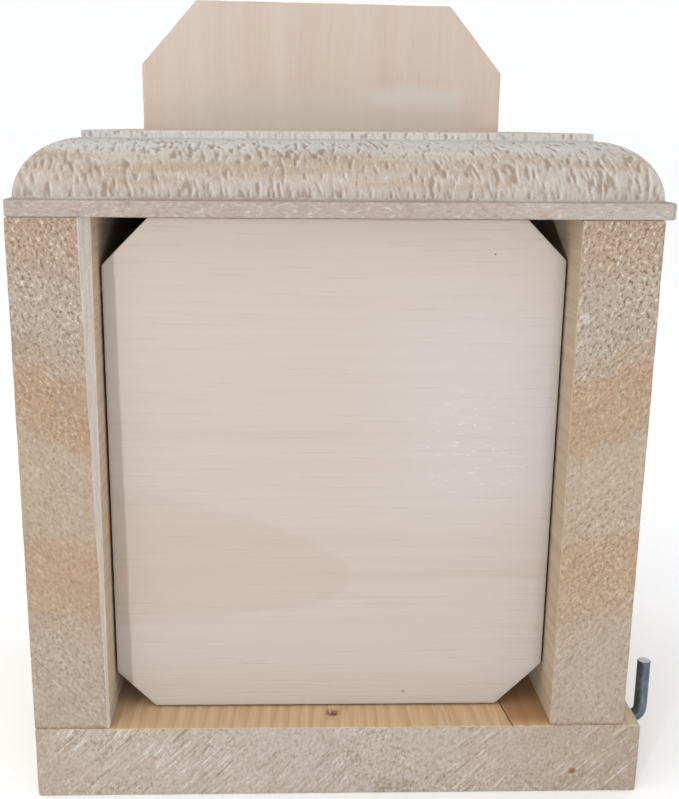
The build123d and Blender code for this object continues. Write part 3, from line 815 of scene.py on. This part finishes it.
def make_roof():
    """The roof: rings of points round left, front and right, filled below, above and at the back."""
    lo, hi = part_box("roof_board")
    n_front = round((hi.x - lo.x) / FRONT_STEP)
    n_side = round((hi.y - lo.y) / SIDE_STEP)
    points, torn, pale, rings = [], [], [], []

    def place(d, z, out, up, s, edge, t):
        """One point: edge is left, front or right, t runs 0 to 1 along it."""
        inset = d * LEDGE_LEFT / LEDGE if d <= LEDGE else d - LEDGE + LEDGE_LEFT
        x0, x1, y0 = lo.x + inset, hi.x - d, lo.y + d
        if edge == "front":
            p, n = Vector((x0 + (x1 - x0) * t, y0, z)), Vector((0, -out, up))
            u = p.x
        else:
            x = x0 if edge == "left" else x1
            p = Vector((x, y0 + (hi.y - y0) * t, z))
            n = Vector((-out if edge == "left" else out, 0, up))
            u = p.y
        r = max(0.0, LIP_CORNER - d) if z < lo.z + LIP + 1e-6 else 0.0
        if r > 0 and p.y < y0 + r and (p.x < x0 + r or p.x > x1 - r):
            core = Vector((min(max(p.x, x0 + r), x1 - r), y0 + r, z))
            way = (p - core).normalized()
            p = core + way * r
            n = way * out + Vector((0, 0, up))
        side = edge != "front"
        deep, worn, crest = 0.0, 0.0, 0.0
        moulded = s > LIP + LEDGE
        corner = min(abs(p.x - x0), abs(p.x - x1))
        if moulded and up < 0.999 and z > lo.z + LIP:
            worn = roof_torn(u, s - LIP - LEDGE, side)
            crest = 0.0 if side else max(0.0, roof_torn(u - CREST_AHEAD, s - LIP - LEDGE, side) - worn)
            if not side and corner < MITRE_CALM:
                worn *= 0.4
            deep = TEAR_BASE + TEAR_DEPTH * min(1.0, worn) - CREST_HEIGHT * crest
        elif out > 0.3:
            worn = max(0.0, fbm(p.x * 300 + p.y * (40 if side else 300), 7.0, z * 500, 2, 0.6) - 0.3)
            deep = LIP_BASE + LIP_DEPTH * worn
            if z > lo.z + LIP + ROUND:
                worn = max(0.0, noise.noise(Vector((u * 900, 2.0, z * 260))) * 1.6)
                deep = BAND_BASE + BAND_DEPTH * worn
        deep += ROOF_RIPPLE * (1 + noise.noise(p * 240.0))
        if side and t > 0.999:
            n = Vector((n.x, 0, n.z))
        torn.append(min(1.0, worn))
        # The crest's share is stored as pale, which the roof's material paints as a highlight.
        pale.append(crest)
        points.append(p - n.normalized() * deep)
        return len(points) - 1

    s = 0.0
    previous = None
    for d, z, out, up in roof_profile(lo.z, hi.z):
        if previous is not None:
            s += math.hypot(d - previous[0], z - previous[1])
            if abs(d) < 1e-9 and abs(previous[0]) > 1e-9:
                s = 0.0
        previous = (d, z)
        left = [place(d, z, out, up, s, "left", t / n_side) for t in range(n_side, 0, -1)]
        front = [place(d, z, out, up, s, "front", t / n_front) for t in range(n_front + 1)]
        right = [place(d, z, out, up, s, "right", t / n_side) for t in range(1, n_side + 1)]
        rings.append(left + front + right)
    faces = []
    for low, high in zip(rings, rings[1:]):
        for i in range(len(low) - 1):
            faces.append([low[i], low[i + 1], high[i + 1], high[i]])

    def flat(ring, z, up):
        """Fills inside a ring with a grid; gives its row of points along the back."""
        front = ring[n_side:n_side + n_front + 1]
        left = ring[:n_side][::-1]
        right = ring[n_side + n_front + 1:]
        rows = [front]
        for j in range(1, n_side + 1):
            a, b = points[left[j - 1]], points[right[j - 1]]
            row = [left[j - 1]]
            for i in range(1, n_front):
                p = a.lerp(b, i / n_front)
                fibre = noise.noise(Vector((p.x * 420, p.y * 14, z * 10)))
                wide = noise.noise(Vector((p.x * 34, p.y * 14, z * 10 + 5)))
                p = Vector((p.x, p.y, z - up * SIDE_DEPTH * (0.5 + 0.3 * fibre + 0.35 * wide)))
                torn.append(0.0)
                pale.append(0.0)
                points.append(p)
                row.append(len(points) - 1)
            row.append(right[j - 1])
            rows.append(row)
        for low, high in zip(rows, rows[1:]):
            for i in range(n_front):
                quad = [low[i], low[i + 1], high[i + 1], high[i]]
                faces.append(quad if up > 0 else quad[::-1])
        return rows[-1]

    under = flat(rings[0], lo.z, -1)
    over = flat(rings[-1], hi.z, 1)
    rows = [under]
    for k in range(1, BACK_STEPS):
        row = []
        for i in range(n_front + 1):
            p = points[under[i]].lerp(points[over[i]], k / BACK_STEPS)
            if 0 < i < n_front:
                p.y = hi.y - sawn(Vector((p.x, 0, p.z)), Vector((0, 1, 0)), 6.0)[0]
            torn.append(0.0)
            pale.append(0.0)
            points.append(p)
            row.append(len(points) - 1)
        rows.append(row)
    rows.append(over)
    for low, high in zip(rows, rows[1:]):
        for i in range(n_front):
            faces.append([low[i + 1], low[i], high[i], high[i + 1]])
    left_cap = [ring[0] for ring in rings] + [row[0] for row in rows[-2:0:-1]]
    right_cap = [ring[-1] for ring in rings] + [row[-1] for row in rows[-2:0:-1]]
    faces.append(left_cap)
    faces.append(right_cap[::-1])
    marks = {"torn": torn, "pale": pale}
    return mesh_object("roof", mesh_from("roof", points, faces), roof_material(), marks, ROOF_CREASE)


# ---- plywood pieces
PLY_EASE = 0.28 * MM
PLY_SLICES = (0.27, 0.30, 0.70, 0.73, 0.5)          # shares of the thickness
EDGE_BASE, EDGE_TEAR, CORE_STEP, FACE_WAVE = 0.05 * MM, 0.20 * MM, 0.07 * MM, 0.05 * MM


def ply_sheet(name, node, material, clips, fine, coarse, seed, drop=0.0):
    """A plywood sheet with clipped corners.

    clips are (across, up or down) for each corner, from bottom left round; fine and coarse are grid
    steps near the edges and within; drop is how much lower the top edge is at its right end.
    """
    lo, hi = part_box(node)
    x0, x1, z0, z1 = lo.x, hi.x, lo.z, hi.z
    (ax, az), (bx, bz), (cx, cz), (dx, dz) = clips
    outline = [(x0 + ax, z0), (x1 - bx, z0), (x1, z0 + bz), (x1, z1 - drop - cz),
               (x1 - cx, z1 - drop), (x0 + dx, z1), (x0, z1 - dz), (x0, z0 + az)]
    kept = [p for i, p in enumerate(outline) if p != outline[i - 1]]
    bm = bmesh.new()
    front = bm.faces.new([bm.verts.new((x, lo.y, z)) for x, z in kept])
    grown = bmesh.ops.extrude_face_region(bm, geom=[front])["geom"]
    bmesh.ops.translate(bm, verts=[g for g in grown if isinstance(g, bmesh.types.BMVert)],
                        vec=(0, hi.y - lo.y, 0))
    bmesh.ops.recalc_face_normals(bm, faces=bm.faces)
    bmesh.ops.bevel(bm, geom=bm.edges[:], offset=PLY_EASE, segments=2, profile=0.5, affect="EDGES",
                    clamp_overlap=True)
    edge = 2 * fine
    slices = [("x", v) for v in lines((x0, fine), (x0 + edge, coarse), (x1 - edge, fine), (x1, 1))[1:-1]]
    slices += [("z", v) for v in lines((z0, fine), (z1, 1))[1:-1]]
    slices += [("y", lo.y + (hi.y - lo.y) * share) for share in PLY_SLICES]
    for axis, value in slices:
        spot = Vector([value if axis == a else 0.0 for a in "xyz"])
        way = Vector([1.0 if axis == a else 0.0 for a in "xyz"])
        bmesh.ops.bisect_plane(bm, geom=bm.verts[:] + bm.edges[:] + bm.faces[:],
                               plane_co=spot, plane_no=way, dist=1e-7)
    bm.normal_update()
    torn = {}
    for v in bm.verts:
        n = v.normal.copy()
        x, y, z = v.co
        depth = (y - lo.y) / (hi.y - lo.y)
        face = abs(n.y)
        ragged = max(0.0, fbm(x * 330, y * 500 + seed, z * 330, 3, 0.6))
        wave = 0.5 + 0.5 * noise.noise(Vector((x * 34, seed, z * 34)))
        core = 1.0 if 0.28 < depth < 0.72 else 0.0
        torn[v.index] = (1 - face) * min(1.0, ragged)
        deep = (1 - face) * (EDGE_BASE + EDGE_TEAR * ragged + CORE_STEP * core) + face * FACE_WAVE * wave
        v.co -= n * deep
    mesh = bpy.data.meshes.new(name)
    bm.to_mesh(mesh)
    bm.free()
    marks = {"torn": [torn.get(i, 0.0) for i in range(len(mesh.vertices))]}
    return mesh_object(name, mesh, material, marks)


# ---- build the pieces
panel_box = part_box("front_panel")
plate_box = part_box("back_plate")
base_wood = board_material(
    "base_wood", base_tone, -SAW_TURN, 1.3, ((0.60, 0.40, 0.24), (0.46, 0.26, 0.13)),
    base_specks, 0.8, (0.66, 0.67, 0.67), (1.02, 1.12, 1.16), base_marks)
left_wood = board_material(
    "left_wood", wall_tone, SAW_TURN, 2.9, ((0.53, 0.43, 0.335), (0.43, 0.325, 0.235)),
    wall_specks, 0.34, (0.62, 0.605, 0.58), (1.0, 1.0, 0.95), planed_strip)
right_wood = board_material(
    "right_wood", wall_tone, -SAW_TURN, 5.1, ((0.50, 0.40, 0.305), (0.41, 0.305, 0.215)),
    wall_specks, 0.34, (0.635, 0.62, 0.59), (0.90, 0.89, 0.84))
panel_ply = ply_material(
    "panel_ply", False, (panel_box[0].y, panel_box[1].y),
    ((0.655, 0.555, 0.475), (0.675, 0.585, 0.51), (0.665, 0.575, 0.505), (0.56, 0.43, 0.33)),
    panel_figure, (0.57, 0.565, 0.555))
plate_ply = ply_material(
    "plate_ply", True, (plate_box[0].y, plate_box[1].y),
    ((0.635, 0.50, 0.41), (0.65, 0.525, 0.44), (0.665, 0.55, 0.47), (0.54, 0.40, 0.31)),
    plate_figure, (0.665, 0.665, 0.65))

HEAD_BELOW = 0.3 * MM                       # how far a sunk head's top lies under the face
WALL_NAIL_XS = (-66.5 * MM, 62.0 * MM)
BASE_NAIL_YS, ROOF_NAIL_YS = (-40 * MM, 0.0, 40 * MM), (-20 * MM, 40 * MM)
ROOF_HEAD_Z = 161.4 * MM
PLATE_NAIL_XS = [-2.75 * MM + side * 39 * MM for side in (-1, 1)]
PLATE_NAIL_ZS = (9.5 * MM, 156.5 * MM)
HEAD, PLATE_HEAD, PIVOT_HEAD = 2.76 * MM, 2.08 * MM, 2.28 * MM      # radii of the sinkings
PIVOT_Y, PIVOT_Z = -38.7 * MM, 129.0 * MM
HOOK_Y, HOOK_Z, BORE_DEPTH, BORE_RADIUS = -32 * MM, 9.5 * MM, 24 * MM, 1.85 * MM
HOLE_Y, HOLE_Z = 8.15 * MM, 103.0 * MM
HOLE_RADIUS, HOLE_ROUND, HOLE_RINGS, HOLE_SIDES, HOLE_WOBBLE = 16.0 * MM, 1.5 * MM, 20, 144, 0.16 * MM
HOLE_PAST = 0.005
BEVEL = (0.7 * MM, 2.8 * MM)
PIT_SPOT = (-1.5 * MM, -44.6 * MM)


def hole_cutter(wall_lo, wall_hi):
    """The entrance through the left wall, with its rims rounded."""
    thick = wall_hi.x - wall_lo.x
    curve = [math.radians(a) for a in range(0, 91, 15)]
    rim = [(HOLE_ROUND * (1 - math.cos(a)), HOLE_RADIUS + HOLE_ROUND * (1 - math.sin(a))) for a in curve]
    wide = HOLE_RADIUS + HOLE_ROUND
    profile = [(-HOLE_PAST, wide)] + rim
    profile += [(HOLE_ROUND + (thick - 2 * HOLE_ROUND) * k / HOLE_RINGS, HOLE_RADIUS)
                for k in range(1, HOLE_RINGS)]
    profile += [(thick - d, r) for d, r in rim[::-1]] + [(thick + HOLE_PAST, wide)]
    return turned(profile, Vector((wall_lo.x, HOLE_Y, HOLE_Z)), Vector((1, 0, 0)), HOLE_SIDES, HOLE_WOBBLE)


base = board("base", "base_board", base_wood, 1.0, pit=PIT_SPOT)
base_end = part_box("base_board")[1].x
bore = turned([(-BORE_DEPTH, BORE_RADIUS), (CUT_PAST, BORE_RADIUS)],
              Vector((base_end, HOOK_Y, HOOK_Z)), Vector((1, 0, 0)), SINK_SIDES)
cut(base, bore, *[head_sinking((x, y, HEAD_BELOW), (0, 0, -1), HEAD)
                  for x in WALL_NAIL_XS for y in BASE_NAIL_YS])
settle(base, "house", "board_wood", "base_board")

left_lo, left_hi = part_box("left_wall")
left = board("left_side", "left_wall", left_wood, 2.0, BEVEL, MIRROR_X)
cut(left, hole_cutter(left_lo, left_hi),
    head_sinking((left_lo.x + HEAD_BELOW, PIVOT_Y, PIVOT_Z), (-1, 0, 0), PIVOT_HEAD))
settle(left, "house", "board_wood", "left_wall")

right_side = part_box("right_wall")[1].x
right = board("right_side", "right_wall", right_wood, 3.0, None, MIRROR_X)
cut(right, head_sinking((right_side - HEAD_BELOW, PIVOT_Y, PIVOT_Z), (1, 0, 0), PIVOT_HEAD))
settle(right, "house", "board_wood", "right_wall")

roof = make_roof()
cut(roof, *[head_sinking((x, y, ROOF_HEAD_Z), (0, 0, 1), HEAD) for x in WALL_NAIL_XS for y in ROOF_NAIL_YS])
settle(roof, "house", "board_wood", "roof_board")

PANEL_CLIPS = [(c * MM, c * MM) for c in (9.8, 11.6, 9.6, 11.2)]
PLATE_CLIPS = [(0.0, 0.0), (0.0, 0.0), (16.6 * MM, 19.9 * MM), (17.2 * MM, 19.1 * MM)]
panel = ply_sheet("front", "front_panel", panel_ply, PANEL_CLIPS, 0.9 * MM, 3.5 * MM, 11.0)
settle(panel, "front", "plywood", "front_panel")
plate = ply_sheet("back", "back_plate", plate_ply, PLATE_CLIPS, 1.1 * MM, 3.5 * MM, 17.0, 1.0 * MM)
cut(plate, *[head_sinking((x, plate_box[1].y - HEAD_BELOW, z), (0, 1, 0), PLATE_HEAD)
             for x in PLATE_NAIL_XS for z in PLATE_NAIL_ZS])
settle(plate, "house", "plywood", "back_plate")

# The hook and the nails keep their CAD meshes.
zinc = zinc_material()
nail_metal = nail_material()
for node in ("screw_hook", "base_nails", "roof_nails", "plate_nails", "pivot_nails", "stop_brads"):
    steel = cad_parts[node]
    metal = zinc if node == "screw_hook" else nail_metal
    for place in steel.material_slots:
        place.material = metal
    if not steel.material_slots:
        steel.data.materials.append(metal)

# ---- floor, light, camera
FLOOR_RADIUS, FLOOR_SIDES = 30.0, 96
FLOOR_DIM, FLOOR_PALE, FLOOR_FAR = (0.935, 0.935, 0.935), (0.96, 0.96, 0.955), (0.99, 0.99, 0.99)
FLOOR_FADE = (0.6, 3.0)


def floor_material():
    """Pale paper, a little lighter far away so that the horizon is faint."""
    s = Shader("floor_paper")
    co = s.object_co
    x, y, _ = s.split(co)
    far = s.math("SQRT", s.add(s.mul(x, x), s.mul(y, y)))
    near = s.mix(s.noise(co, (3, 3, 3), 2.0, 0.5), FLOOR_DIM, FLOOR_PALE)
    return s.finish(s.mix(s.band(far, *FLOOR_FADE), near, FLOOR_FAR), 0.9, 0.1)


disc = bmesh.new()
bmesh.ops.create_circle(disc, cap_ends=True, segments=FLOOR_SIDES, radius=FLOOR_RADIUS)
floor_mesh = bpy.data.meshes.new("floor")
disc.to_mesh(floor_mesh)
disc.free()
floor_mesh.materials.append(floor_material())
floor_mesh.shade_smooth()
link("floor", floor_mesh)

LIGHTS = (      # name, place, aim, size, power, colour
    ("key", (-0.56, -1.1, 0.21), (0.0, 0.0, 0.09), (0.06, 0.06), 6.2, (0.93, 0.965, 1.0)),
    ("sheen", (0.28, -0.95, 0.12), (0.0, 0.0, 0.09), (0.2, 0.18), 2.0, (0.9, 0.9, 1.0)),
    ("overhead", (-0.35, -0.35, 1.2), (0.0, 0.0, 0.1), (0.9, 0.9), 2.5, (1.0, 1.0, 1.0)),
)
for name, spot, aim, size, power, colour in LIGHTS:
    data = bpy.data.lights.new(name, "AREA")
    data.shape = "RECTANGLE"
    data.size, data.size_y = size
    data.energy = power
    data.color = colour
    lamp = link(name, data)
    lamp.location = spot
    lamp.rotation_euler = (Vector(aim) - Vector(spot)).to_track_quat("-Z", "Y").to_euler()

SKY_COLOUR, SKY_STRENGTH = (0.985, 0.99, 1.0, 1.0), 1.0
world = bpy.data.worlds.new("studio")
world.use_nodes = True
sky = world.node_tree.nodes["Background"]
sky.inputs["Color"].default_value = SKY_COLOUR
sky.inputs["Strength"].default_value = SKY_STRENGTH
bpy.context.scene.world = world

CAMERA_SPOT = (-0.01337, -0.28777, 0.16727)
YAW, PITCH, ROLL = [math.radians(a) for a in (1.592, 13.501, 0.462)]
camera_data = bpy.data.cameras.new("photo_view")
camera_data.sensor_fit = "AUTO"
camera_data.sensor_width = 36.0
camera_data.lens = 46.96
camera_data.shift_x = 0.0293
camera_data.shift_y = -0.0292
camera_data.clip_start = 0.01
ahead = Vector((math.sin(YAW) * math.cos(PITCH), math.cos(YAW) * math.cos(PITCH), -math.sin(PITCH)))
level = Vector((math.cos(YAW), -math.sin(YAW), 0.0))
above = level.cross(ahead)
across = level * math.cos(ROLL) + above * math.sin(ROLL)
upward = above * math.cos(ROLL) - level * math.sin(ROLL)
camera = link("photo_view", camera_data)
turn_rows = zip(across, upward, -ahead, CAMERA_SPOT)
camera.matrix_world = Matrix([*turn_rows, (0, 0, 0, 1)])
bpy.context.scene.camera = camera
bpy.context.scene.view_settings.view_transform = "Standard"
